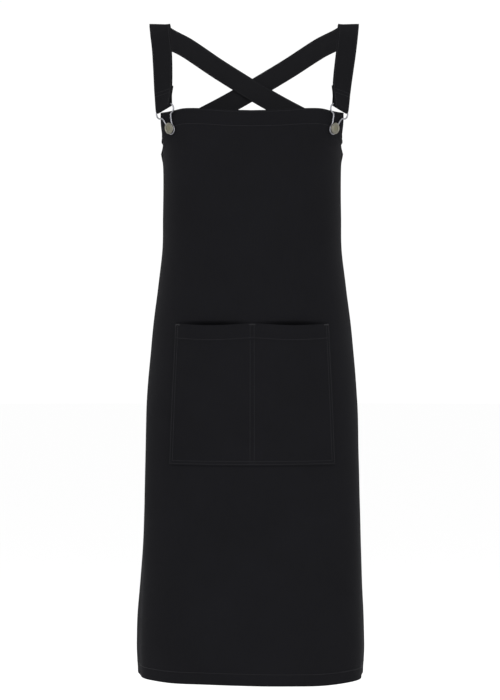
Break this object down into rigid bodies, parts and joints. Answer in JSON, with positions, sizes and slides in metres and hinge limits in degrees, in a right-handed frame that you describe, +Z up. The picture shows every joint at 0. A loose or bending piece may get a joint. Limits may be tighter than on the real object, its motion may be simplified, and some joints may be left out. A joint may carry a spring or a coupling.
{
  "type": "cross back apron",
  "caption": "Black twill work apron with a wrapped bib, a wide patch pocket, and flat straps that cross on the back and hook in front with wire buckles.",
  "frame": {"origin": "midway between the two shoulders, level with the top of both straps, where the apron hangs on its wearer", "axes": "+Z up, the front of the apron faces -Y, +X to the right as seen from the front"},
  "size_m": [0.3478, 0.2619, 1.0066],
  "materials": {
    "cloth": "black cotton twill, matt",
    "strap": "black twill strap, edge stitched",
    "wire": "nickel plated round wire",
    "button": "old nickel, brushed"
  },
  "bodies": {
    "root": {"apron_panel": "cloth", "pocket": "cloth", "strap_left": "strap", "strap_right": "strap", "buckle_left": "wire", "buckle_right": "wire", "button_left": "button", "button_right": "button"}
  },
  "joints": []
}
